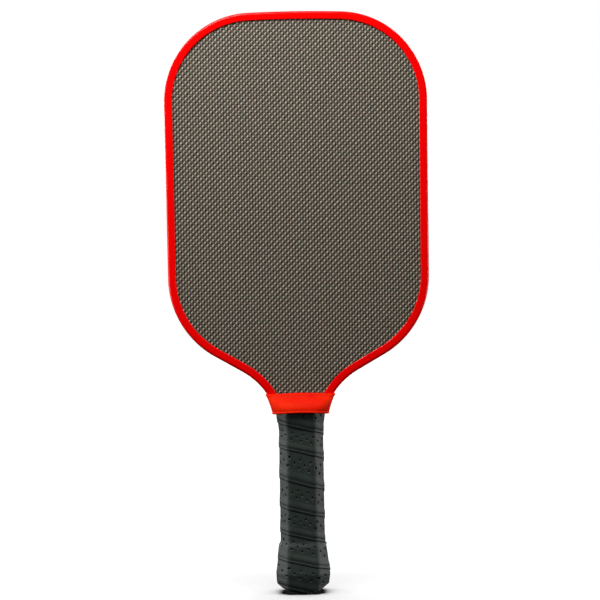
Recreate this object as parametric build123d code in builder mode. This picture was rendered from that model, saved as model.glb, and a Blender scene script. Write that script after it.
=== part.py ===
from build123d import *
import os
from math import atan2, cos, hypot, sqrt, tan

os.makedirs("parts", exist_ok=True)

# A pickleball paddle standing on its butt. Z runs up the handle into the blade, X across the blade,
# and Y through its thickness, with the front face towards -Y. Sizes are in millimetres.

# Blade outline, measured round the outside of the edge guard
length = 419.1
width = 190.5
crown_drop = 3.2
top_corner_radius = 0.336 * width
shoulder_height = 189.5
shoulder_taper = 1.25
shoulder_radius = 66.0
throat_height = 151.5
throat_half_width = 27.7
throat_radius = 51.0
tail_height = 93.6

# Sandwich panel
core_thickness = 14.0
veil_thickness = 0.15
face_thickness = 0.5
cell_size = 12.0
cell_wall = 0.5
smallest_cell = 6.0
panel_neck = 134.0

# Edge guard and the tape that bonds it
guard_wall = 1.2
guard_lip_width = 6.3
guard_lip_rise = 0.9
guard_rounding = 1.7
guard_end = 137.0
guard_relief = 0.25
tape_thickness = 0.25
tape_width = 10.0

# Handle: an eight-sided section, flats towards X and Y, cut at 45 degrees
handle_half_x = 14.15
handle_half_y = 12.8
handle_foot = 7.2
scoop_start = 130.0
scoop_depth = 1.0
pallet_top = 142.0
pallet_tip = 1.0
pallet_clearance = 0.45

# Butt cap: it flares out under the grip and ends in a shallow arch
cap_top = 34.0
cap_top_wall = 1.1
flare_height = 14.0
flare_wall = 3.5
flare_tuck = 2.55
arch_radius = handle_half_x + 10.35
arch_floor = 2.5
cap_rim_radius = 3.0

# End medallion, let into the arch
badge_length = 21.0
badge_breadth = 15.0
badge_corner = 5.0
badge_thickness = 0.6
badge_clearance = 0.15

# Staples of square wire
staple_wire = 0.7
staple_span = 10.0
cap_staple_leg = 5.0
cap_staple_height = 24.0
cap_staple_sink = 0.3
grip_staple_leg = 2.4
grip_staple_height = 17.0
grip_staple_stand = 0.9

# Grip wrap, its adhesive backing and the tape that finishes its top end
adhesive_thickness = 0.15
grip_thickness = 1.6
grip_rise = 1.0
grip_top = 133.5
grip_build = 1.6
build_start = 117.0
finish_bottom = 129.2
finish_thickness = 0.25

# Collar: an elastic ring stretched from the grip over the throat
collar_bottom = 128.8
collar_knee = 133.9
collar_top = 143.0
collar_bottom_half_x = handle_half_x + 5.85
collar_knee_half_x = handle_half_x + 7.45
collar_top_half_x = throat_half_width - 2.7
collar_wall = 0.85
collar_bottom_corner = 11.0
collar_knee_corner = 10.0
collar_top_corner = 2.4
collar_gap = 0.1

# Sizes that follow from the ones above
crown_angle = atan2(crown_drop, width / 2)
crown_radius = (width / 2 - top_corner_radius) / tan(crown_angle)
half_core = core_thickness / 2
half_veil = half_core + veil_thickness
half_panel = half_veil + face_thickness
half_guard = half_panel + guard_lip_rise
panel_inset = guard_wall + tape_thickness
handle_diagonal = handle_half_x + half_panel
grip_outside = adhesive_thickness + grip_thickness
finish_outside = grip_outside + grip_build + finish_thickness
collar_bottom_half_y = handle_half_y + finish_outside + collar_gap + 2 * collar_wall
collar_top_half_y = half_guard - guard_relief + collar_gap + collar_wall


def blade_outline(inset):
    """Region inside the guard's outer edge, reduced all round by inset; X across, Y up the paddle."""
    crown_peak = length + crown_radius * (1 / cos(crown_angle) - 1)
    corners = [
        (0, crown_peak, crown_radius),
        (width / 2 + shoulder_taper / 3, crown_peak - crown_drop, top_corner_radius),
        (width / 2 - shoulder_taper, shoulder_height, shoulder_radius),
        (throat_half_width, throat_height, throat_radius),
        (0, tail_height, 0),
    ]
    right = [(x, z) for x, z, radius in corners]
    left = [(-x, z) for x, z, radius in reversed(corners[1:4])]
    with BuildSketch() as outline:
        with BuildLine():
            Polyline(*right, *left, close=True)
        make_face()
        for x, z, radius in corners[:4]:
            ends = [v for v in outline.vertices() if hypot(abs(v.X) - x, v.Y - z) < 0.01]
            fillet(ends, radius=radius)
        if inset > 0:
            offset(amount=-inset, kind=Kind.INTERSECTION, mode=Mode.REPLACE)
    return outline.sketch


def band(bottom, top, half_width):
    """Rectangle centred on the paddle's axis between two heights."""
    with BuildSketch() as region:
        with Locations((0, bottom)):
            Rectangle(2 * half_width, top - bottom, align=(Align.CENTER, Align.MIN))
    return region.sketch


def panel_outline():
    """Outline shared by every layer of the panel: the blade and the tongue down the handle."""
    with BuildSketch() as outline:
        add(blade_outline(panel_inset))
        add(band(panel_neck, length, width), mode=Mode.INTERSECT)
        add(band(handle_foot, panel_neck + 1, handle_half_x))
    return outline.sketch


def grown(region, distance):
    """Region moved outwards all round by a distance, or inwards if it is negative."""
    with BuildSketch() as result:
        add(region)
        offset(amount=distance, kind=Kind.INTERSECTION, mode=Mode.REPLACE)
    return result.sketch


def comb_section():
    """Panel outline with the honeycomb's open cells, closed round the edge by one thin wall."""
    outline = panel_outline()
    corner = (cell_size - cell_wall) / sqrt(3)
    whole_zone = grown(outline, -corner - cell_wall)
    part_zone = grown(outline, corner)
    row_pitch = cell_size * sqrt(3) / 2
    whole = []
    cut = []
    for row in range(int(length / row_pitch) + 2):
        for column in range(int(-width / 2 / cell_size) - 1, int(width / 2 / cell_size) + 2):
            x = (column + 0.5 * (row % 2)) * cell_size
            z = row * row_pitch
            if any(region.is_inside((x, z, 0)) for region in whole_zone.faces()):
                whole.append((x, z))
            elif any(region.is_inside((x, z, 0)) for region in part_zone.faces()):
                cut.append((x, z))
    with BuildSketch() as full_cells:
        with Locations(*whole):
            RegularPolygon(radius=corner, side_count=6, rotation=30)
    with BuildSketch() as cut_cells:
        with Locations(*cut):
            RegularPolygon(radius=corner, side_count=6, rotation=30)
        add(grown(outline, -cell_wall), mode=Mode.INTERSECT)
    cells = full_cells.sketch.faces() + cut_cells.sketch.faces().filter_by(
        lambda cell: cell.area > smallest_cell
    )
    return Face(outline.face().outer_wire(), [cell.outer_wire() for cell in cells])


def octagon(growth):
    """The handle's eight-sided section, grown outwards by a distance."""
    half_x = handle_half_x + growth
    half_y = handle_half_y + growth
    diagonal = handle_diagonal + growth * sqrt(2)
    flat_x = diagonal - half_y
    flat_y = diagonal - half_x
    upper = [(half_x, flat_y), (flat_x, half_y), (-flat_x, half_y), (-half_x, flat_y)]
    lower = [(-x, -y) for x, y in upper]
    with BuildSketch() as section:
        with BuildLine():
            Polyline(*upper, *lower, close=True)
        make_face()
    return section.sketch


def cap_wall(height):
    """Thickness of the cap's tapered skirt at a height."""
    share = (height - flare_height) / (cap_top - flare_height)
    return flare_wall + share * (cap_top_wall - flare_wall)


def arch(rise):
    """Solid above the butt's arched end, long in Y; the arch is raised by rise, keeping its centre."""
    radius = arch_radius - rise
    half = handle_half_x + flare_wall + grip_outside
    springing = arch_radius - sqrt(radius**2 - half**2)
    with BuildPart() as slab:
        with BuildSketch(Plane.XZ):
            with BuildLine():
                ThreePointArc((-half, springing), (0, rise), (half, springing))
                Polyline((half, springing), (half, length), (-half, length), (-half, springing))
            make_face()
        extrude(amount=2 * handle_half_x, both=True)
    return slab.part


def flared(growth, stations):
    """Solid over the cap's flare and the stations above it, its arched end rounded all round."""
    foot = [(-2 * grip_outside, flare_wall - flare_tuck), (flare_height, flare_wall)]
    with BuildPart() as body:
        for height, station_growth in foot + [(cap_top, cap_top_wall)] + stations:
            with BuildSketch(Plane.XY.offset(height)):
                add(octagon(station_growth + growth))
        loft(ruled=True)
        add(arch(-growth), mode=Mode.INTERSECT)
        fillet(body.faces().filter_by(GeomType.CYLINDER).edges(), radius=cap_rim_radius + growth)
    return body.part


def wrapped(growth, top, build):
    """Solid under a wrap over the butt flare and handle, thickened by build near its top end."""
    straight = [(cap_top + 2.5, 0), (build_start, 0)]
    return flared(growth, straight + [(finish_bottom, build), (top, build)])


def staple(leg):
    """Staple with its crown along X, its back at Y = 0 and its legs towards +Y."""
    lean = (staple_span - staple_wire) / 2
    low_middle = (Align.CENTER, Align.MIN, Align.CENTER)
    with BuildPart() as wire:
        Box(staple_span, staple_wire, staple_wire, align=low_middle)
        with Locations((-lean, 0, 0), (lean, 0, 0)):
            Box(staple_wire, leg, staple_wire, align=low_middle)
    return wire.part


def layer(region, near, far):
    """Solid of a flat region standing in the XZ plane, between two distances towards the front."""
    with BuildPart() as sheet:
        with BuildSketch(Plane.XZ.offset(near)):
            add(region)
        extrude(amount=far - near)
    return sheet.part


def plug(half_length, half_breadth, corner):
    """Upright prism that reaches through the butt's end."""
    with BuildPart() as prism:
        with BuildSketch(Plane.XY.offset(-1)):
            RectangleRounded(2 * half_length, 2 * half_breadth, corner)
        extrude(amount=handle_foot)
    return prism.part


def ring_section(half_x, half_y, corner, shrink):
    """Draws the collar's rounded section, reduced all round by shrink."""
    RectangleRounded(2 * (half_x - shrink), 2 * (half_y - shrink), corner - shrink)


def collar_body(bottom_shrink, shrink):
    """Solid through the collar's three sections."""
    with BuildPart() as body:
        with BuildSketch(Plane.XY.offset(collar_bottom)):
            ring_section(
                collar_bottom_half_x, collar_bottom_half_y, collar_bottom_corner, bottom_shrink
            )
        with BuildSketch(Plane.XY.offset(collar_knee)):
            ring_section(collar_knee_half_x, collar_bottom_half_y, collar_knee_corner, shrink)
        with BuildSketch(Plane.XY.offset(collar_top)):
            ring_section(collar_top_half_x, collar_top_half_y, collar_top_corner, shrink)
        loft(ruled=True)
    return body.part


# Places of the staples
cap_staple_face = handle_half_y + cap_wall(cap_staple_height) - cap_staple_sink
grip_staple_face = handle_half_x + cap_wall(grip_staple_height) + grip_staple_stand
front_staple_place = Location((0, -cap_staple_face, cap_staple_height))
back_staple_place = Location((0, cap_staple_face, cap_staple_height), (0, 0, 180))
grip_staple_place = Location((grip_staple_face, 0, grip_staple_height), (0, 0, 90))
front_staple = staple(cap_staple_leg).moved(front_staple_place)
back_staple = staple(cap_staple_leg).moved(back_staple_place)
start_staple = staple(grip_staple_leg + grip_staple_stand).moved(grip_staple_place)

# Honeycomb core with the tongue that runs down the handle
with BuildPart() as honeycomb_core:
    add(layer(comb_section(), -half_core, half_core))

# Bonding veils and face sheets, front towards -Y
with BuildPart() as front_veil:
    add(layer(panel_outline(), half_core, half_veil))

with BuildPart() as back_veil:
    add(layer(panel_outline(), -half_veil, -half_core))

with BuildPart() as front_face_sheet:
    add(layer(panel_outline(), half_veil, half_panel))

with BuildPart() as back_face_sheet:
    add(layer(panel_outline(), -half_panel, -half_veil))

# Tape round the panel's edge, under the guard
with BuildSketch() as tape_region:
    add(blade_outline(guard_wall))
    add(blade_outline(panel_inset), mode=Mode.SUBTRACT)
    add(band(guard_end, length, width), mode=Mode.INTERSECT)

with BuildPart() as edge_tape:
    add(layer(tape_region.sketch, -tape_width / 2, tape_width / 2))

# Edge guard: a channel round the blade, open at the handle
with BuildSketch() as guard_region:
    add(blade_outline(0))
    add(band(guard_end, length, width), mode=Mode.INTERSECT)

with BuildSketch() as lip_window:
    add(blade_outline(guard_lip_width))
    add(band(0, pallet_top + pallet_clearance, handle_half_x + pallet_clearance))

with BuildPart() as edge_guard:
    add(layer(guard_region.sketch, -half_guard, half_guard))
    rims = [
        e
        for e in edge_guard.edges()
        if abs(abs(e.center().Y) - half_guard) < 0.01 and e.center().Z > guard_end + 0.01
    ]
    fillet(rims, radius=guard_rounding)
    add(layer(lip_window.sketch, -half_guard - 1, half_guard + 1), mode=Mode.SUBTRACT)
    add(layer(blade_outline(guard_wall), -half_panel, half_panel), mode=Mode.SUBTRACT)
    for side in (-1, 1):
        with Locations((0, side * half_guard, collar_top + 0.2)):
            Box(
                width,
                2 * guard_relief,
                2 * (collar_top - guard_end),
                align=(Align.CENTER, Align.CENTER, Align.MAX),
                mode=Mode.SUBTRACT,
            )

# Handle pallets, glued to both sides of the tongue and scooped away under the collar
def pallet():
    """Front pallet, before the staple's holes."""
    with BuildPart() as block:
        with BuildSketch(Plane.YZ):
            with BuildLine():
                Polyline(
                    (-half_panel - pallet_tip, pallet_top),
                    (-half_panel, pallet_top),
                    (-half_panel, handle_foot),
                    (-handle_half_y, handle_foot),
                    (-handle_half_y, scoop_start),
                )
                SagittaArc(
                    (-handle_half_y, scoop_start),
                    (-half_panel - pallet_tip, pallet_top),
                    scoop_depth,
                )
            make_face()
        extrude(amount=handle_half_x, both=True)
        with BuildSketch(Plane.XY):
            add(octagon(0))
        extrude(amount=length, mode=Mode.INTERSECT)
    return block.part


with BuildPart() as front_pallet:
    add(pallet())
    add(front_staple, mode=Mode.SUBTRACT)

with BuildPart() as back_pallet:
    add(pallet().mirror(Plane.XZ))
    add(back_staple, mode=Mode.SUBTRACT)

# Butt cap: skirt round the handle and an arched floor with a recess for the medallion
with BuildPart() as butt_cap:
    add(flared(0, []))
    with BuildSketch(Plane.XY.offset(handle_foot)):
        add(octagon(0))
    extrude(amount=length, mode=Mode.SUBTRACT)

with BuildPart() as cap_hollow:
    with BuildSketch(Plane.XY):
        add(octagon(-1))
    extrude(amount=handle_foot)
    add(arch(arch_floor), mode=Mode.INTERSECT)

with BuildPart() as badge_recess:
    add(
        plug(
            badge_length / 2 + badge_clearance,
            badge_breadth / 2 + badge_clearance,
            badge_corner + badge_clearance,
        )
    )
    add(arch(badge_thickness), mode=Mode.SUBTRACT)

with butt_cap:
    for cutter in (cap_hollow, badge_recess):
        add(cutter.part, mode=Mode.SUBTRACT)
    for cutter in (front_staple, back_staple, start_staple):
        add(cutter, mode=Mode.SUBTRACT)

with BuildPart() as butt_badge:
    add(plug(badge_length / 2, badge_breadth / 2, badge_corner))
    add(arch(0), mode=Mode.INTERSECT)
    add(arch(badge_thickness), mode=Mode.SUBTRACT)

with BuildPart() as front_cap_staple:
    add(front_staple)

with BuildPart() as back_cap_staple:
    add(back_staple)

with BuildPart() as grip_staple:
    add(start_staple)

# Grip: the wound strip as one sleeve, its adhesive backing inside it
wrap_end = arch(grip_rise)

with BuildPart() as grip_adhesive:
    add(wrapped(adhesive_thickness, grip_top, 0))
    add(wrap_end, mode=Mode.INTERSECT)
    add(wrapped(0, grip_top, 0), mode=Mode.SUBTRACT)
    add(start_staple, mode=Mode.SUBTRACT)

with BuildPart() as cushion_grip:
    add(wrapped(grip_outside, grip_top, grip_build))
    add(wrap_end, mode=Mode.INTERSECT)
    add(wrapped(adhesive_thickness, grip_top, 0), mode=Mode.SUBTRACT)
    add(start_staple, mode=Mode.SUBTRACT)

with BuildPart() as finish_tape:
    with BuildSketch(Plane.XY.offset(finish_bottom)):
        add(octagon(finish_outside))
    extrude(amount=grip_top - finish_bottom)
    with BuildSketch(Plane.XY.offset(finish_bottom)):
        add(octagon(grip_outside + grip_build))
    extrude(amount=grip_top - finish_bottom, mode=Mode.SUBTRACT)

# Collar
with BuildPart() as grip_collar:
    add(collar_body(0, 0))
    add(collar_body(2 * collar_wall, collar_wall), mode=Mode.SUBTRACT)

# Labels and files, one per piece
honeycomb_core.part.label = "honeycomb_core"
export_step(honeycomb_core.part, "parts/honeycomb_core.step")

front_veil.part.label = "front_veil"
export_step(front_veil.part, "parts/front_veil.step")

back_veil.part.label = "back_veil"
export_step(back_veil.part, "parts/back_veil.step")

front_face_sheet.part.label = "front_face_sheet"
export_step(front_face_sheet.part, "parts/front_face_sheet.step")

back_face_sheet.part.label = "back_face_sheet"
export_step(back_face_sheet.part, "parts/back_face_sheet.step")

edge_tape.part.label = "edge_tape"
export_step(edge_tape.part, "parts/edge_tape.step")

edge_guard.part.label = "edge_guard"
export_step(edge_guard.part, "parts/edge_guard.step")

front_pallet.part.label = "front_pallet"
export_step(front_pallet.part, "parts/front_pallet.step")

back_pallet.part.label = "back_pallet"
export_step(back_pallet.part, "parts/back_pallet.step")

butt_cap.part.label = "butt_cap"
export_step(butt_cap.part, "parts/butt_cap.step")

butt_badge.part.label = "butt_badge"
export_step(butt_badge.part, "parts/butt_badge.step")

front_cap_staple.part.label = "front_cap_staple"
export_step(front_cap_staple.part, "parts/front_cap_staple.step")

back_cap_staple.part.label = "back_cap_staple"
export_step(back_cap_staple.part, "parts/back_cap_staple.step")

grip_staple.part.label = "grip_staple"
export_step(grip_staple.part, "parts/grip_staple.step")

grip_adhesive.part.label = "grip_adhesive"
export_step(grip_adhesive.part, "parts/grip_adhesive.step")

cushion_grip.part.label = "cushion_grip"
export_step(cushion_grip.part, "parts/cushion_grip.step")

finish_tape.part.label = "finish_tape"
export_step(finish_tape.part, "parts/finish_tape.step")

grip_collar.part.label = "grip_collar"
export_step(grip_collar.part, "parts/grip_collar.step")
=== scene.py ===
import math
import bpy
import bmesh
from mathutils import Matrix, Vector, noise
from mathutils.bvhtree import BVHTree


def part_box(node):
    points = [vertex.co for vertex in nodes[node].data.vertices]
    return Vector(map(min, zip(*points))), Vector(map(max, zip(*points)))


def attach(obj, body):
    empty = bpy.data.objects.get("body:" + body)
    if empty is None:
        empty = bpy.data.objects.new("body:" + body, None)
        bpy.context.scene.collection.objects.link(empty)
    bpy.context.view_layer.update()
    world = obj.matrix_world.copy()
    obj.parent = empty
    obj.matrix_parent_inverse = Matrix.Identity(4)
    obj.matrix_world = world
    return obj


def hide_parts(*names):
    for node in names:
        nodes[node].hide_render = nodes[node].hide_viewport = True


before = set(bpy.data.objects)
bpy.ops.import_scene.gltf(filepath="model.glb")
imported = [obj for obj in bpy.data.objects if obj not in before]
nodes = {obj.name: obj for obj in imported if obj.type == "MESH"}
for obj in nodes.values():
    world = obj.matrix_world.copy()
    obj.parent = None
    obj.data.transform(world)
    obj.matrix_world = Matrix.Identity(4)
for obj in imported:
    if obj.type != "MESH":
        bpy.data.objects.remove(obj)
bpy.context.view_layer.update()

mm = 0.001


def smoothStep(low, high, value):
    share = min(1.0, max(0.0, (value - low) / (high - low)))
    return share * share * (3 - 2 * share)


def readTable(table, value):
    # straight-line reading between the pairs of a table
    for (x0, y0), (x1, y1) in zip(table, table[1:]):
        if value <= x1:
            return y0 + (y1 - y0) * max(0.0, value - x0) / (x1 - x0)
    return table[-1][1]


# mesh helpers

def keepPiece(bm, name, material, stands):
    mesh = bpy.data.meshes.new(name)
    bm.to_mesh(mesh)
    bm.free()
    mesh.polygons.foreach_set("use_smooth", [True] * len(mesh.polygons))
    mesh.materials.append(material)
    piece = bpy.data.objects.new(name, mesh)
    bpy.context.scene.collection.objects.link(piece)
    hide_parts(*stands)
    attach(piece, "root")
    print("made", name, "with", len(mesh.polygons), "faces")
    return piece


def cutAcross(node, y):
    # bmesh of the line where a flat cut across Y meets a CAD node
    bm = bmesh.new()
    bm.from_mesh(nodes[node].data)
    bmesh.ops.remove_doubles(bm, verts=bm.verts, dist=0.001 * mm)
    bmesh.ops.bisect_plane(
        bm, geom=bm.verts[:] + bm.edges[:] + bm.faces[:], plane_co=(0, y, 0), plane_no=(0, 1, 0),
        clear_inner=True, clear_outer=True,
    )
    return bm


def walkLoop(start):
    # the vertices of a closed wire in order
    loop, last, here = [start], None, start
    while True:
        ahead = [edge.other_vert(here) for edge in here.link_edges]
        last, here = here, ahead[1] if ahead[0] is last else ahead[0]
        if here is start:
            return loop
        loop.append(here)


class RoundedOutline:
    # a convex outline with rounded corners, read by its length from the middle of its first side

    def __init__(self, corners, radius):
        points = [Vector(corner) for corner in corners]
        count = len(points)
        self.parts = []
        arcs = []
        for i, point in enumerate(points):
            arriving = (point - points[i - 1]).normalized()
            leaving = (points[(i + 1) % count] - point).normalized()
            turn = arriving.angle(leaving)
            bisector = (arriving - leaving).normalized()
            centre = point - bisector * radius / math.cos(turn / 2)
            first = math.atan2(-arriving.x, arriving.y)
            arcs.append((centre, first, turn, bisector / math.cos(turn / 2)))
        for i, (centre, first, turn, spread) in enumerate(arcs):
            nextCentre, nextFirst, _, nextSpread = arcs[(i + 1) % count]
            self.parts.append(("arc", radius * turn, centre, first, turn, spread))
            normal = Vector((math.cos(nextFirst), math.sin(nextFirst)))
            a, b = centre + normal * radius, nextCentre + normal * radius
            self.parts.append(("line", (b - a).length, a, b, normal, (spread, nextSpread)))
        lastLine = self.parts[-1]
        self.perimeter = sum(part[1] for part in self.parts)
        self.offset = lastLine[1] / 2

    def at(self, length):
        # place, outward normal, and how the place moves as the outline grows by one
        rest = (length - self.offset) % self.perimeter
        for kind, run, *facts in self.parts:
            if rest <= run:
                break
            rest -= run
        if kind == "arc":
            centre, first, turn, spread = facts
            angle = first + turn * rest / run
            normal = Vector((math.cos(angle), math.sin(angle)))
            return centre + normal * (run / turn), normal, spread
        a, b, normal, (spreadA, spreadB) = facts
        share = rest / run
        return a.lerp(b, share), normal, spreadA.lerp(spreadB, share)


# material helpers

def newMaterial(name):
    material = bpy.data.materials.new(name)
    material.use_nodes = True
    tree = material.node_tree
    return material, tree, tree.nodes["Principled BSDF"]


def give(tree, socket, value):
    if isinstance(value, bpy.types.NodeSocket):
        tree.links.new(value, socket)
    else:
        socket.default_value = value


def doMath(tree, operation, *values):
    node = tree.nodes.new("ShaderNodeMath")
    node.operation = operation
    for socket, value in zip(node.inputs, values):
        give(tree, socket, value)
    return node.outputs[0]


def mixColours(tree, share, a, b, blend="MIX"):
    node = tree.nodes.new("ShaderNodeMix")
    node.data_type = "RGBA"
    node.blend_type = blend
    for index, value in ((0, share), (6, a), (7, b)):
        give(tree, node.inputs[index], value)
    return node.outputs[2]


def mixValues(tree, share, a, b):
    node = tree.nodes.new("ShaderNodeMix")
    for index, value in ((0, share), (2, a), (3, b)):
        give(tree, node.inputs[index], value)
    return node.outputs[0]


def shadeColour(tree, colour, shade):
    # multiplies a colour by one number
    grey = tree.nodes.new("ShaderNodeCombineColor")
    for socket in grey.inputs:
        tree.links.new(shade, socket)
    return mixColours(tree, 1.0, colour, grey.outputs[0], "MULTIPLY")


def splitPlace(tree, place):
    split = tree.nodes.new("ShaderNodeSeparateXYZ")
    tree.links.new(place, split.inputs[0])
    return split.outputs[0], split.outputs[1]


def spreadRange(tree, value, low, high, newLow, newHigh):
    node = tree.nodes.new("ShaderNodeMapRange")
    for socket, number in zip(node.inputs, (value, low, high, newLow, newHigh)):
        give(tree, socket, number)
    return node.outputs[0]


def noiseValue(tree, vector, scale, detail=2.0, roughness=0.5):
    node = tree.nodes.new("ShaderNodeTexNoise")
    give(tree, node.inputs["Vector"], vector)
    node.inputs["Scale"].default_value = scale
    node.inputs["Detail"].default_value = detail
    node.inputs["Roughness"].default_value = roughness
    return node.outputs[0]


def cellValue(tree, vector, scale):
    node = tree.nodes.new("ShaderNodeTexVoronoi")
    give(tree, node.inputs["Vector"], vector)
    node.inputs["Scale"].default_value = scale
    return node.outputs["Distance"]


def stretch(tree, vector, scale):
    node = tree.nodes.new("ShaderNodeMapping")
    give(tree, node.inputs["Vector"], vector)
    node.inputs["Scale"].default_value = scale
    return node.outputs[0]


def objectPlace(tree):
    return tree.nodes.new("ShaderNodeTexCoord").outputs["Object"]


def uvPlace(tree, name):
    node = tree.nodes.new("ShaderNodeUVMap")
    node.uv_map = name
    return node.outputs[0]


def addBump(tree, shader, height, distance):
    node = tree.nodes.new("ShaderNodeBump")
    node.inputs["Strength"].default_value = 1.0
    node.inputs["Distance"].default_value = distance
    give(tree, node.inputs["Height"], height)
    tree.links.new(node.outputs[0], shader.inputs["Normal"])


def plainMaterial(name, dark, light, roughness, grain, bump, metallic=0.0):
    # two close colours in soft blotches over a fine grain, for mouldings and hidden pieces
    material, tree, shader = newMaterial(name)
    place = objectPlace(tree)
    blotch = noiseValue(tree, place, 90, 3.0)
    fine = noiseValue(tree, place, grain, 2.0, 0.6)
    colour = mixColours(tree, spreadRange(tree, blotch, 0.3, 0.7, 0, 1), (*dark, 1), (*light, 1))
    give(tree, shader.inputs["Base Color"], colour)
    give(
        tree, shader.inputs["Roughness"],
        spreadRange(tree, fine, 0.3, 0.7, roughness - 0.05, roughness + 0.07),
    )
    shader.inputs["Metallic"].default_value = metallic
    addBump(tree, shader, fine, bump * mm)
    return material


# woven face sheets

weave = {
    "tow": 2.0 * mm,            # width of one tow, warp and weft alike
    "depth": 0.2 * mm,          # from the top of a float down to the pit between tows
    "weftDrop": 0.15,           # how much lower the weft floats lie
    "saddle": 0.5,              # height where one tow dives under the next
    "link": 0.25,               # height of every other corner, where a slanted pair of floats joins
    "linkPaintedLight": 0.09,          # how much brighter those corners are than the others: painted light along one diagonal, as from a light at the upper left
    "slant": 0.35,              # how far the warp floats lean across their cell, which also moves their bump and their painted shade to one side
    "wander": 0.16 * mm,        # how far a tow strays from its line
    "swell": 0.3,               # how unevenly the floats stand
    "topSink": 1.08,            # keeps the highest floats just under the sheet's face
    # warp and weft are the same fibre: the warp floats carry painted light and the weft floats carry painted
    # shade
    "warpLit": (0.53, 0.465, 0.37, 1),
    "weftShaded": (0.125, 0.110, 0.070, 1),
    # painted shade for the hollows between the floats, where the open weave also has real dark holes
    "pitShade": (0.006, 0.005, 0.004, 1),
}


def weaveMaterial():
    material, tree, shader = newMaterial("wovenLaminate")
    place = uvPlace(tree, "towLines")
    u, v = splitPlace(tree, place)
    inU, inV = doMath(tree, "FRACT", u), doMath(tree, "FRACT", v)
    square = doMath(tree, "ADD", doMath(tree, "FLOOR", u), doMath(tree, "FLOOR", v))
    isWeft = doMath(tree, "MODULO", doMath(tree, "ADD", square, 1000.0), 2.0)
    domeU = doMath(tree, "SINE", doMath(tree, "MULTIPLY", inU, math.pi))
    domeV = doMath(tree, "SINE", doMath(tree, "MULTIPLY", inV, math.pi))
    aside = doMath(tree, "MULTIPLY", doMath(tree, "SUBTRACT", inV, 0.5), weave["slant"])
    leaning = spreadRange(tree, doMath(tree, "SUBTRACT", inU, aside), 0, 1, 0, math.pi)
    warpTop = doMath(
        tree, "MULTIPLY", doMath(tree, "SINE", leaning), doMath(tree, "MULTIPLY_ADD", domeV, 0.4, 0.6)
    )
    weftTop = doMath(
        tree, "MULTIPLY", doMath(tree, "POWER", domeV, 0.5), doMath(tree, "MULTIPLY_ADD", domeU, 0.5, 0.5)
    )
    top = mixValues(tree, isWeft, warpTop, weftTop)
    link = doMath(
        tree, "MULTIPLY", doMath(tree, "COSINE", doMath(tree, "MULTIPLY", u, math.pi)),
        doMath(tree, "COSINE", doMath(tree, "MULTIPLY", v, math.pi)),
    )
    # painted light: every other corner is made brighter, in colour and bump alike
    top = doMath(tree, "MULTIPLY_ADD", link, weave["linkPaintedLight"], top)
    alongWarp = noiseValue(tree, stretch(tree, place, (22, 1.5, 1)), 1.0, 1.0)
    alongWeft = noiseValue(tree, stretch(tree, place, (1.5, 22, 1)), 1.0, 1.0)
    filaments = mixValues(tree, isWeft, alongWarp, alongWeft)
    perTow = noiseValue(tree, stretch(tree, place, (0.9, 0.9, 1)), 1.0, 2.0)
    # painted light on the warp floats and painted shade on the weft floats
    colour = mixColours(tree, isWeft, weave["warpLit"], weave["weftShaded"])
    shade = doMath(
        tree, "MULTIPLY", spreadRange(tree, filaments, 0.25, 0.75, 0.75, 1.25),
        spreadRange(tree, perTow, 0.3, 0.7, 0.75, 1.25),
    )
    colour = shadeColour(tree, colour, shade)
    tint = noiseValue(tree, stretch(tree, place, (0.55, 0.55, 1)), 1.0, 3.0, 0.7)
    rosy = mixColours(tree, 1.0, colour, (1.3, 0.9, 0.88, 1), "MULTIPLY")
    colour = mixColours(tree, spreadRange(tree, tint, 0.5, 0.7, 0, 0.6), colour, rosy)
    # painted shade: the colour turns to the pit colour where the weave lies low, partly the real dark holes
    # between the tows
    colour = mixColours(tree, spreadRange(tree, top, 0.34, 0.95, 0, 1), weave["pitShade"], colour)
    give(tree, shader.inputs["Base Color"], colour)
    give(tree, shader.inputs["Roughness"], spreadRange(tree, filaments, 0.2, 0.8, 0.36, 0.52))
    addBump(tree, shader, doMath(tree, "MULTIPLY_ADD", filaments, 0.12, top), 0.15 * mm)
    return material


def floatHeight(column, row):
    # columns and rows count half tows: odd ones run down a tow's middle
    if column % 2 and row % 2:
        return 1.0 - weave["weftDrop"] * ((column // 2 + row // 2) % 2)
    if column % 2 or row % 2:
        return weave["saddle"]
    return weave["link"] * (1 - (column // 2 + row // 2) % 2)


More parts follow.
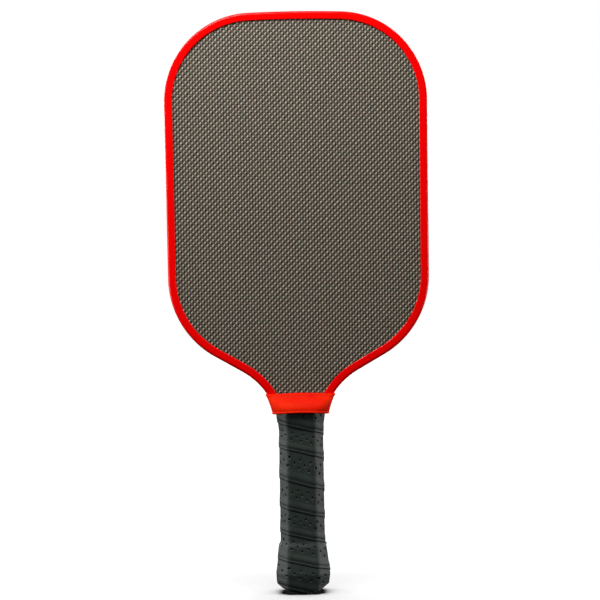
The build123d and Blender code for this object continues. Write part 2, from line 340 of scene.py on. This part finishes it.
def makeFaceSheet(node, name, material):
    low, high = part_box(node)
    outer, inner = (low.y, high.y) if low.y < 0 else (high.y, low.y)
    inward = math.copysign(1, inner - outer)
    step = weave["tow"] / 2
    columns = 2 * math.ceil(high.x / step)
    rows = math.ceil(high.z / step)
    bm = bmesh.new()
    bmesh.ops.create_grid(bm, x_segments=columns, y_segments=rows, size=0.5)
    turned = Matrix((
        (columns * step, 0, 0, 0), (0, 0, 0, outer), (0, rows * step, 0, rows * step / 2), (0, 0, 0, 1),
    ))
    bmesh.ops.transform(bm, matrix=turned, verts=bm.verts)
    sheet = nodes[node].data
    solid = BVHTree.FromPolygons([v.co for v in sheet.vertices], [p.vertices for p in sheet.polygons])
    toSheet = Vector((0, inward, 0))
    outside = [v for v in bm.verts if solid.ray_cast(v.co - toSheet, toSheet)[0] is None]
    bmesh.ops.delete(bm, geom=outside, context="VERTS")
    bmesh.ops.delete(bm, geom=[v for v in bm.verts if len(v.link_faces) < 2], context="VERTS")
    towLines = bm.loops.layers.uv.new("towLines")
    for face in bm.faces:
        for loop in face.loops:
            loop[towLines].uv = (loop.vert.co.x / weave["tow"], loop.vert.co.z / weave["tow"])
    # the stepped rim is drawn out to the sheet's own edge
    wire = cutAcross(node, (outer + inner) / 2)
    edges = [(edge.verts[0].co.copy(), edge.verts[1].co.copy()) for edge in wire.edges]
    wire.free()
    rim = [vert for vert in bm.verts if vert.is_boundary]
    for vert in rim:
        best = None
        for a, b in edges:
            share = max(0.0, min(1.0, (vert.co - a).dot(b - a) / (b - a).length_squared))
            place = a.lerp(b, share)
            gap = (place - vert.co).xz.length
            if best is None or gap < best[0]:
                best = (gap, place)
        vert.co.x, vert.co.z = best[1].x, best[1].z
    for vert in bm.verts:
        if vert.is_boundary:
            continue
        column, row = round(vert.co.x / step), round(vert.co.z / step)
        vert.co.x += weave["wander"] * noise.noise((column * 0.4, row * 0.03, 3.1))
        vert.co.z += weave["wander"] * noise.noise((column * 0.03, row * 0.4, 7.7))
        swell = 1 + weave["swell"] * noise.noise((column * 0.33, row * 0.33, 1.9))
        sink = min(1.0, max(0.0, weave["topSink"] - floatHeight(column, row) * swell))
        vert.co.y = outer + inward * weave["depth"] * sink
    walls = bmesh.ops.extrude_edge_only(bm, edges=[edge for edge in bm.edges if edge.is_boundary])
    for vert in walls["geom"]:
        if isinstance(vert, bmesh.types.BMVert):
            vert.co.y = inner
    bmesh.ops.holes_fill(bm, edges=[edge for edge in bm.edges if edge.is_boundary])
    bmesh.ops.recalc_face_normals(bm, faces=bm.faces)
    keepPiece(bm, name, material, [node])


woven = weaveMaterial()
makeFaceSheet("front_face_sheet", "frontFace", woven)
makeFaceSheet("back_face_sheet", "backFace", woven)


# edge guard: the outer edge's line extruded round the channel's section

guard = {
    "lip": 6.2,               # lip width on the faces, measured from the outer edge
    "corner": 1.9,            # rounding from the side onto the lip
    "crown": 0.3,             # swell of the side
    "lipFall": 0.12,          # how much the lip thins towards its inner edge
    "lipEdge": 0.5,           # rounding at the lip's inner edge
    "wall": 1.2,              # thickness of the side
    "relief": 0.25,           # thinner lips where the collar covers them
    "reliefTop": 143.2,
    "reliefSpan": (6.5, 8.3),  # the relief comes in between these heights
    "dark": (0.94, 0.0008, 0.0010),
    "light": (1.0, 0.0012, 0.0008),
}


def guardSection():
    # half of the channel's section, from the middle of its side round to the channel's floor:
    # distance in from the outer edge, and height above the mid plane
    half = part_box("edge_guard")[1].y / mm
    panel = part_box("back_face_sheet")[1].y / mm
    corner, lip, edge = guard["corner"], guard["lip"], guard["lipEdge"]
    start = guard["crown"]
    section = [(0.0, 0.0)]
    for share in (0.3, 0.6, 0.85, 1.0):
        section.append((start * share**2, (half - corner) * share))
    for step in range(1, 7):
        angle = math.radians(15 * step)
        section.append((start + corner * (1 - math.cos(angle)), half - corner + corner * math.sin(angle)))
    inner = half - guard["lipFall"]
    for share in (0.3, 0.6, 0.9):
        reach = start + corner + (lip - edge - start - corner) * share
        section.append((reach, half - guard["lipFall"] * share))
    for step in range(6):
        angle = math.radians(18 * step)
        section.append((lip - edge * (1 - math.sin(angle)), inner - edge * (1 - math.cos(angle))))
    section += [(lip, panel), (guard["wall"] + 1.5, panel), (guard["wall"], panel), (guard["wall"], 0.0)]
    return section


def guardMaterial():
    material, tree, shader = newMaterial("guardRed")
    place = objectPlace(tree)
    mottle = noiseValue(tree, place, 45, 3.0)
    fine = noiseValue(tree, place, 1500, 2.0)
    share = spreadRange(tree, mottle, 0.3, 0.7, 0, 1)
    colour = mixColours(tree, share, (*guard["dark"], 1), (*guard["light"], 1))
    give(tree, shader.inputs["Base Color"], colour)
    give(tree, shader.inputs["Roughness"], spreadRange(tree, mottle, 0.2, 0.8, 0.2, 0.26))
    shader.inputs["Specular IOR Level"].default_value = 0.16
    addBump(tree, shader, fine, 0.015 * mm)
    return material


def makeGuard(material):
    bm = cutAcross("edge_guard", 0)
    loop = walkLoop(max(bm.verts, key=lambda vert: vert.co.z))
    bottom = min(vert.co.z for vert in loop) + 0.05 * mm
    reach = next(i for i, vert in enumerate(loop) if vert.co.z < bottom)
    back = next(i for i, vert in enumerate(reversed(loop)) if vert.co.z < bottom)
    line = loop[len(loop) - back - 1:] + loop[:reach + 1]
    bmesh.ops.delete(bm, geom=[vert for vert in bm.verts if vert not in set(line)], context="VERTS")
    print("guard line of", len(line), "points")
    inwards, homes = {}, {}
    for i, vert in enumerate(line):
        along = line[min(i + 1, len(line) - 1)].co - line[max(i - 1, 0)].co
        inwards[vert] = Vector((along.z, 0, -along.x)).normalized()
        homes[vert] = vert.co.copy()
    peak = max(line, key=lambda vert: vert.co.z)
    facing = -math.copysign(1, inwards[peak].z)
    half = guardSection()
    section = half + [(inward, -height) for inward, height in reversed(half[1:-1])]
    wire = bm.edges[:]
    for inward, height in section[1:] + section[:1]:
        made = bmesh.ops.extrude_edge_only(bm, edges=wire)["geom"]
        fresh = {part for part in made if isinstance(part, bmesh.types.BMVert)}
        for vert in fresh:
            around = [edge.other_vert(vert) for edge in vert.link_edges]
            parent = next(other for other in around if other not in fresh)
            inwards[vert], homes[vert] = inwards[parent], homes[parent]
            covered = 1 - smoothStep(guard["reliefTop"], guard["reliefTop"] + 2, homes[vert].z / mm)
            sunk = guard["relief"] * covered * smoothStep(*guard["reliefSpan"], abs(height))
            vert.co = homes[vert] + inwards[vert] * facing * inward * mm
            vert.co.y = math.copysign(abs(height) - sunk, height) * mm
        wire = [edge for edge in bm.edges if edge.verts[0] in fresh and edge.verts[1] in fresh]
    bmesh.ops.remove_doubles(bm, verts=bm.verts, dist=0.001 * mm)
    bmesh.ops.holes_fill(bm, edges=[edge for edge in bm.edges if edge.is_boundary])
    bmesh.ops.recalc_face_normals(bm, faces=bm.faces)
    keepPiece(bm, "edgeGuard", material, ["edge_guard"])


makeGuard(guardMaterial())


# collar

collar = {
    "sides": 120,
    "stations": (              # height, half size along X and along Y, corner radius
        (128.8, 20.0, 18.2, 11.0),
        (131.2, 20.7, 18.2, 10.6),
        (132.6, 21.1, 18.0, 10.2),
        (133.9, 21.5, 17.5, 9.6),
        (135.5, 22.0, 16.6, 8.6),
        (137.5, 22.7, 15.0, 6.9),
        (140.0, 23.7, 12.4, 4.8),
        (143.0, 24.9, 9.4, 2.6),
    ),
    "bow": 1.1,                # rise of the lips at the middle of the front and back
    "section": (               # height and swell beyond the stations, up the outside and down the inside
        (129.0, -0.75), (128.82, -0.45), (128.8, -0.1), (128.95, 0.25), (129.3, 0.45), (129.7, 0.42),
        (130.05, 0.2), (130.35, 0.0), (131.1, 0.02), (132.0, 0.12), (132.9, 0.0), (133.9, 0.1),
        (135.0, 0.0), (136.2, 0.1), (137.4, 0.0), (138.6, 0.08), (139.8, 0.0), (140.8, 0.0),
        (141.3, 0.12), (141.7, 0.35), (142.2, 0.5), (142.6, 0.45), (142.9, 0.2), (143.0, -0.15),
        (142.9, -0.5), (142.6, -0.75), (140.0, -0.85), (137.0, -0.85), (134.0, -0.85), (131.0, -0.85),
    ),
    "dark": (0.78, 0.006, 0.0006),
    "light": (0.88, 0.020, 0.0010),
}


def collarMaterial():
    material, tree, shader = newMaterial("collarRed")
    place = objectPlace(tree)
    mottle = noiseValue(tree, place, 70, 3.0)
    streak = noiseValue(tree, stretch(tree, place, (40, 40, 900)), 1.0, 2.0)
    fine = noiseValue(tree, place, 1800, 2.0)
    share = spreadRange(tree, mottle, 0.3, 0.7, 0, 1)
    colour = mixColours(tree, share, (*collar["dark"], 1), (*collar["light"], 1))
    give(tree, shader.inputs["Base Color"], colour)
    give(tree, shader.inputs["Roughness"], spreadRange(tree, streak, 0.3, 0.7, 0.5, 0.6))
    shader.inputs["Specular IOR Level"].default_value = 0.03
    addBump(tree, shader, doMath(tree, "MULTIPLY_ADD", fine, 0.3, streak), 0.05 * mm)
    return material


def collarPlace(height, swell, share):
    stations = collar["stations"]
    sizes = [readTable([(row[0], row[i]) for row in stations], height) for i in (1, 2, 3)]
    halfX, halfY, corner = (size + swell for size in sizes)
    ring = RoundedOutline(
        [(halfX, -halfY), (halfX, halfY), (-halfX, halfY), (-halfX, -halfY)], max(0.3, corner)
    )
    place, _, _ = ring.at(share * ring.perimeter)
    rise = collar["bow"] * (1 - (place.x / halfX)**2)
    lift = rise * (0.35 + 0.65 * abs(2 * (height - stations[0][0]) / (stations[-1][0] - stations[0][0]) - 1))
    return Vector((place.x, place.y, height + lift)) * mm


def makeCollar(material):
    bm = bmesh.new()
    rings = []
    sides = collar["sides"]
    for height, swell in collar["section"]:
        ring = bmesh.ops.create_circle(bm, segments=sides, radius=1)["verts"]
        for i, vert in enumerate(ring):
            vert.co = collarPlace(height, swell, i / sides)
        rings.append([edge for edge in bm.edges if edge.verts[0] in set(ring)])
    for i, ring in enumerate(rings):
        bmesh.ops.bridge_loops(bm, edges=rings[i - 1] + ring)
    bmesh.ops.recalc_face_normals(bm, faces=bm.faces)
    keepPiece(bm, "collar", material, ["grip_collar"])


makeCollar(collarMaterial())


# wound grip: one flat strip, perforated, laid out in its unrolled plane, then wrapped round the handle

grip = {
    "halfX": 14.3, "halfY": 12.95, "diagonal": 22.0,   # the backed handle's eight-sided section
    "cornerRadius": 1.5,
    "width": 25.0,
    "pitch": 19.6,
    "seam": 21.0,               # height of the lowest whole seam at the middle of the front
    "lean": 0.8,                # extra slope of the turns across the front
    "holeStep": 7.4,
    "holeRows": (9.6, 12.2, 14.8),
    "holeRadius": 0.55,
    "holeDepth": 0.8,
    "top": 133.4,
    "surface": (                # height of the strip's outer face across its width
        (0.0, 1.7), (0.4, 2.0), (1.3, 2.02), (2.1, 1.62), (2.9, 2.04), (4.0, 2.02), (5.4, 1.9),
        (7.0, 1.62), (12.2, 1.64), (18.0, 1.58), (19.6, 1.5), (22.0, 1.0), (24.0, 0.5), (25.0, 0.25),
    ),
    "shift": (                  # how far each seam lies from an even helix, by height
        (0, 0.0), (21, 0.0), (40.6, -0.6), (60.2, -2.2), (79.8, -1.8), (99.4, 1.6), (119, -1.0), (140, 0),
    ),
    "paintedSeamShade": (             # painted shade across the strip's width: dark at its lower edge and in the crease above it, and towards its upper edge, where the next turn's overlapping edge casts its shadow
        (0.0, 0.3), (0.5, 0.85), (1.5, 0.9), (2.1, 0.35), (2.8, 0.95), (6.0, 1.0), (18.0, 1.0), (19.6, 0.4),
        (25.0, 0.3),
    ),
    "colour": (0.0140, 0.0235, 0.0185),
    "paler": (0.0235, 0.0350, 0.0285),
}

butt = {
    "flare": (
        (-3.5, 0.95), (14.0, 3.5), (34.0, 1.1), (36.5, 0.0), (117.0, 0.0), (129.2, 1.6), (140.0, 1.6),
    ),
    "rim": 3.0,                 # rounding of the cap's end
    "arch": 24.5,               # radius of the end's arch
    "bare": 1.0,                # how much of the cap shows below the grip
    "flank": 2.2,               # how far the cap's side stands out where its rounding begins
    "lipReach": 2.0,            # and where the strip is trimmed
    "padding": 0.6,             # how much wider than the rounding the strip bends
}

handle = RoundedOutline(
    [
        (grip["diagonal"] - grip["halfY"], -grip["halfY"]),
        (grip["halfX"], grip["halfX"] - grip["diagonal"]),
        (grip["halfX"], grip["diagonal"] - grip["halfX"]),
        (grip["diagonal"] - grip["halfY"], grip["halfY"]),
        (grip["halfY"] - grip["diagonal"], grip["halfY"]),
        (-grip["halfX"], grip["diagonal"] - grip["halfX"]),
        (-grip["halfX"], grip["halfX"] - grip["diagonal"]),
        (grip["halfY"] - grip["diagonal"], -grip["halfY"]),
    ],
    grip["cornerRadius"],
)


def rimCentre(length):
    # height where the rounding of the butt's end begins, at a place round the handle
    place, _, spread = handle.at(length)
    x = place.x + spread.x * (butt["flank"] - butt["rim"])
    return butt["arch"] - math.sqrt((butt["arch"] - butt["rim"])**2 - x**2)


def rimEnd(length):
    # unrolled height where the strip is trimmed at the butt
    place, _, spread = handle.at(length)
    x = place.x + spread.x * butt["lipReach"]
    edge = butt["arch"] - math.sqrt(butt["arch"]**2 - x**2) + butt["bare"]
    bend = butt["rim"] + butt["padding"]
    start = rimCentre(length)
    return start - bend * math.asin(max(-0.2, min(0.95, (start - edge) / bend)))


def onHandle(length, height, out):
    place, normal, spread = handle.at(length)
    start = rimCentre(length)
    growth = readTable(butt["flare"], max(height, start))
    turn = max(0.0, start - height) / (butt["rim"] + butt["padding"])
    spot = place + spread * (growth - butt["rim"] * (1 - math.cos(turn))) + normal * out * math.cos(turn)
    level = max(height, start) - (butt["rim"] + out) * math.sin(turn)
    return Vector((spot.x, spot.y, level)) * mm


def stripTile():
    # one repeat of the strip, closed round its section, with one hole in each row
    columns = 8
    rows = [0.0, 0.4, 1.3, 2.1, 2.9, 4.0, 5.4, 6.2, 7.0]
    for centre in grip["holeRows"]:
        rows += [centre - 1.3, centre]
    rows += [grip["holeRows"][-1] + 1.3, 18.0, 19.6, 20.8, 22.0, 24.0, 25.0]
    overlap = grip["width"] - grip["pitch"] * math.cos(slope)
    under = [v for v in rows[::-1] if not 7.0 < v < 19.0 or v in (9.6, 14.8)]
    profile = [(v, readTable(grip["surface"], v)) for v in rows]
    for v in under:
        lift = readTable(grip["surface"], v + grip["width"] - overlap) if v < overlap + 0.2 else 0.0
        profile.append((v, lift))
    profile.append(profile[0])
    bm = bmesh.new()
    bmesh.ops.create_grid(bm, x_segments=columns, y_segments=len(profile) - 1, size=0.5)
    tile = grip["holeStep"] / columns
    holes = []
    for vert in bm.verts:
        column, row = round((vert.co.x + 0.5) * columns), round((vert.co.y + 0.5) * (len(profile) - 1))
        v, height = profile[row]
        vert.co = (column * tile, v, height)
        if row < len(rows) and v in grip["holeRows"]:
            if column == (6 if v == grip["holeRows"][1] else 2):
                holes.append(vert)
    bmesh.ops.remove_doubles(bm, verts=bm.verts, dist=0.001)
    bmesh.ops.dissolve_verts(bm, verts=holes)
    for face in [face for face in bm.faces if len(face.verts) == 8]:
        bmesh.ops.inset_individual(bm, faces=[face], thickness=0.2)
        centre = face.calc_center_median()
        for vert in face.verts:
            away = (vert.co - centre).xy.normalized() * grip["holeRadius"]
            vert.co.x, vert.co.y = centre.x + away.x, centre.y + away.y
        floor = bmesh.ops.extrude_discrete_faces(bm, faces=[face])["faces"][0]
        for vert in floor.verts:
            vert.co.z -= grip["holeDepth"]
    return bm


def gripMaterial():
    material, tree, shader = newMaterial("gripCushion")
    place = uvPlace(tree, "strip")
    blotch = noiseValue(tree, place, 0.12, 3.0)
    grain = cellValue(tree, place, 2.2)
    fine = noiseValue(tree, place, 5.0, 3.0, 0.65)
    share = spreadRange(tree, blotch, 0.3, 0.7, 0, 1)
    colour = mixColours(tree, share, (*grip["colour"], 1), (*grip["paler"], 1))
    grainAndPaintedShade = spreadRange(tree, grain, 0.15, 0.75, 1.12, 0.82)
    along, across = splitPlace(tree, place)
    # painted shade along the seams, read across the strip's width
    seamShadeRamp = tree.nodes.new("ShaderNodeValToRGB")
    ramp = seamShadeRamp.color_ramp
    for index, (v, shade) in enumerate(grip["paintedSeamShade"]):
        stop = ramp.elements[0] if index == 0 else ramp.elements.new(v / grip["width"])
        stop.position = v / grip["width"]
        stop.color = (shade, shade, shade, 1)
    ramp.elements.remove(ramp.elements[-1])
    give(tree, seamShadeRamp.inputs[0], doMath(tree, "DIVIDE", across, grip["width"]))
    gaps = []
    _, middleRow, highRow = grip["holeRows"]
    fromMiddle = doMath(tree, "ABSOLUTE", doMath(tree, "SUBTRACT", across, middleRow))
    for column, sideways in (
        (0.25, doMath(tree, "SUBTRACT", fromMiddle, highRow - middleRow)), (0.75, fromMiddle),
    ):
        turn = doMath(tree, "FRACT", doMath(tree, "MULTIPLY_ADD", along, 1 / grip["holeStep"], 0.5 - column))
        ahead = doMath(tree, "MULTIPLY", doMath(tree, "SUBTRACT", turn, 0.5), grip["holeStep"])
        square = doMath(tree, "MULTIPLY", sideways, sideways)
        gaps.append(doMath(tree, "SQRT", doMath(tree, "MULTIPLY_ADD", ahead, ahead, square)))
    # painted shade inside the perforations, near black at their middle
    paintedHoleShade = spreadRange(
        tree, doMath(tree, "MINIMUM", *gaps), grip["holeRadius"] + 0.05, grip["holeRadius"] + 0.25, 0.02, 1,
    )
    # grain tone times the painted shade in the holes and along the seams
    grainAndPaintedShade = doMath(tree, "MULTIPLY", doMath(tree, "MULTIPLY", grainAndPaintedShade, paintedHoleShade), seamShadeRamp.outputs[0])
    give(tree, shader.inputs["Base Color"], shadeColour(tree, colour, grainAndPaintedShade))
    give(tree, shader.inputs["Roughness"], spreadRange(tree, fine, 0.3, 0.7, 0.5, 0.64))
    relief = doMath(tree, "MULTIPLY_ADD", fine, 0.5, doMath(tree, "MULTIPLY", grain, -0.8))
    addBump(tree, shader, relief, 0.07 * mm)
    return material


slope = math.atan(grip["pitch"] / handle.perimeter)


def trimAt(bm, height, side):
    everything = bm.verts[:] + bm.edges[:] + bm.faces[:]
    cut = bmesh.ops.bisect_plane(
        bm, geom=everything, plane_co=(0, height, 0), plane_no=(0, 1, 0), **{side: True}
    )["geom_cut"]
    edges = [part for part in cut if isinstance(part, bmesh.types.BMEdge)]
    bmesh.ops.triangle_fill(bm, use_beauty=True, edges=edges, normal=(0, 1, 0))


def makeGrip(material):
    tile = stripTile()
    flat = bpy.data.meshes.new("tile")
    tile.to_mesh(flat)
    tile.free()
    bm = bmesh.new()
    turns = math.ceil((grip["top"] - grip["seam"]) / grip["pitch"] + 0.2)
    topSeam = grip["seam"] + grip["pitch"] * turns
    count = math.ceil((topSeam + grip["width"] + 2) / math.sin(slope) / grip["holeStep"])
    for i in range(count):
        before = len(bm.verts)
        bm.from_mesh(flat)
        bm.verts.ensure_lookup_table()
        bmesh.ops.translate(bm, verts=bm.verts[before:], vec=(i * grip["holeStep"], 0, 0))
    bpy.data.meshes.remove(flat)
    bmesh.ops.remove_doubles(bm, verts=bm.verts, dist=0.001)
    strip = bm.loops.layers.uv.new("strip")
    for face in bm.faces:
        for loop in face.loops:
            loop[strip].uv = loop.vert.co.xy
    # the strip leans along its helix and starts high enough to cover the handle's top
    bmesh.ops.rotate(bm, verts=bm.verts, cent=(0, 0, 0), matrix=Matrix.Rotation(-slope, 3, "Z"))
    bmesh.ops.translate(bm, verts=bm.verts, vec=(0, topSeam, 0))
    for vert in bm.verts:
        lean = grip["lean"] * math.sin(2 * math.pi * vert.co.x / handle.perimeter)
        vert.co.y += readTable(grip["shift"], vert.co.y) - lean
        vert.co.z += 0.05 * noise.noise((vert.co.x * 0.09, vert.co.y * 0.12, 5.5))
        vert.co.y -= rimEnd(vert.co.x)
    trimAt(bm, 0.0, "clear_inner")
    for vert in bm.verts:
        vert.co.y += rimEnd(vert.co.x)
    trimAt(bm, grip["top"], "clear_outer")
    for vert in bm.verts:
        vert.co = onHandle(*vert.co)
    piece = keepPiece(bm, "gripWrap", material, ["cushion_grip"])


makeGrip(gripMaterial())


# carried-over pieces

finishes = {                  # name, dark and light colours, roughness, grain, bump in mm, metal
    "honeycomb_core": ("corePolymer", (0.62, 0.62, 0.58), (0.72, 0.72, 0.68), 0.5, 900, 0.03),
    "front_veil": ("veil", (0.66, 0.65, 0.60), (0.78, 0.77, 0.72), 0.9, 1200, 0.08),
    "edge_tape": ("bondingTape", (0.50, 0.46, 0.36), (0.58, 0.54, 0.43), 0.6, 700, 0.03),
    "front_pallet": ("palletFoam", (0.055, 0.052, 0.048), (0.085, 0.08, 0.072), 0.8, 1400, 0.1),
    "butt_cap": ("capPlastic", (0.010, 0.011, 0.011), (0.016, 0.017, 0.017), 0.42, 1600, 0.03),
    "butt_badge": ("badgePlastic", (0.020, 0.022, 0.022), (0.030, 0.032, 0.032), 0.3, 1600, 0.015),
    "grip_staple": ("stapleSteel", (0.48, 0.48, 0.47), (0.60, 0.60, 0.58), 0.3, 2200, 0.01, 1.0),
    "grip_adhesive": ("adhesive", (0.50, 0.42, 0.26), (0.58, 0.50, 0.33), 0.4, 800, 0.03),
    "finish_tape": ("finishTape", (0.010, 0.010, 0.011), (0.014, 0.014, 0.015), 0.32, 900, 0.03),
}
sharing = {
    "back_veil": "front_veil",
    "back_pallet": "front_pallet",
    "front_cap_staple": "grip_staple",
    "back_cap_staple": "grip_staple",
}
made = {node: plainMaterial(*facts) for node, facts in finishes.items()}
for node, piece in nodes.items():
    finish = made.get(sharing.get(node, node))
    if finish is not None:
        for socket in piece.material_slots:
            socket.material = finish
print("finished the carried-over pieces with", len(made), "materials")


# floor, light and camera

studio = {
    "floor": (0.86, 0.86, 0.86),
    "distance": 1.4,
    "span": 0.43416,           # width of the view at the paddle
    "aimHeight": 0.21,
    "roll": 0.95,              # degrees that the camera leans
    "nudge": (0.80 * mm, 0.77 * mm),
    "lights": (                # name, place, target, size, power
        ("keyAbove", (-0.25, -0.42, 1.0), (0, 0, 0.25), (0.5, 0.35), 11.5),
        ("fillLeft", (-1.3, -0.2, 0.08), (0, 0, 0.08), (0.6, 0.6), 13),
        ("fillRight", (1.3, -0.2, 0.08), (0, 0, 0.08), (0.6, 0.6), 13),
        ("rearLeft", (-0.8, 0.9, 0.7), (0, 0, 0.2), (0.8, 0.8), 16),
        ("rearRight", (0.8, 0.9, 0.7), (0, 0, 0.2), (0.8, 0.8), 16),
    ),
    "skyPower": 4.6,           # overhead light that reaches the floor only
    "skySpread": 60,
}


def addLight(name, place, target, size, power):
    light = bpy.data.lights.new(name, "AREA")
    light.shape = "RECTANGLE"
    light.size, light.size_y = size
    light.energy = power
    lamp = bpy.data.objects.new(name, light)
    lamp.light_linking.receiver_collection = notFloor
    lamp.location = place
    lamp.rotation_euler = (Vector(target) - Vector(place)).to_track_quat("-Z", "Y").to_euler()
    bpy.context.scene.collection.objects.link(lamp)


floorMesh = bpy.data.meshes.new("floor")
bm = bmesh.new()
bmesh.ops.create_grid(bm, x_segments=1, y_segments=1, size=6)
bmesh.ops.translate(bm, verts=bm.verts, vec=(0, 0, -0.2 * mm))
bm.to_mesh(floorMesh)
bm.free()
floorMaterial, floorTree, floorShader = newMaterial("floorPale")
floorNoise = noiseValue(floorTree, objectPlace(floorTree), 3, 2.0)
paleA = (*studio["floor"], 1)
paleB = tuple(channel * 0.98 for channel in studio["floor"]) + (1,)
give(floorTree, floorShader.inputs["Base Color"], mixColours(floorTree, floorNoise, paleA, paleB))
floorShader.inputs["Roughness"].default_value = 0.9
floorMesh.materials.append(floorMaterial)
floor = bpy.data.objects.new("floor", floorMesh)
bpy.context.scene.collection.objects.link(floor)

# the soft lights leave the floor alone, and the overhead light reaches nothing else
notFloor = bpy.data.collections.new("notFloor")
notFloor.objects.link(floor)
notFloor.collection_objects[0].light_linking.link_state = "EXCLUDE"
for facts in studio["lights"]:
    addLight(*facts)
sun = bpy.data.lights.new("skylight", "SUN")
sun.energy = studio["skyPower"]
sun.angle = math.radians(studio["skySpread"])
overhead = bpy.data.objects.new("skylight", sun)
bpy.context.scene.collection.objects.link(overhead)
floorOnly = bpy.data.collections.new("floorOnly")
floorOnly.objects.link(floor)
overhead.light_linking.receiver_collection = floorOnly
floor.visible_diffuse = False
floor.visible_glossy = False

world = bpy.data.worlds.new("studio")
bpy.context.scene.world = world
world.use_nodes = True
world.node_tree.nodes["Background"].inputs["Color"].default_value = (1, 1, 1, 1)
world.node_tree.nodes["Background"].inputs["Strength"].default_value = 1.0
world.cycles_visibility.diffuse = False
world.cycles_visibility.glossy = False

camera = bpy.data.cameras.new("camera")
camera.sensor_width = 36
camera.lens = camera.sensor_width * studio["distance"] / studio["span"]
eye = bpy.data.objects.new("camera", camera)
bpy.context.scene.collection.objects.link(eye)
lean = math.radians(studio["roll"])
right = Vector((math.cos(lean), 0, -math.sin(lean)))
up = Vector((math.sin(lean), 0, math.cos(lean)))
aim = Vector((0, 0, studio["aimHeight"])) + right * studio["nudge"][0] + up * studio["nudge"][1]
back = right.cross(up)
turnTo = Matrix((right, up, back)).transposed().to_4x4()
eye.matrix_world = Matrix.Translation(aim + back * studio["distance"]) @ turnTo
bpy.context.scene.camera = eye
bpy.context.scene.view_settings.view_transform = "Standard"
print("studio ready")
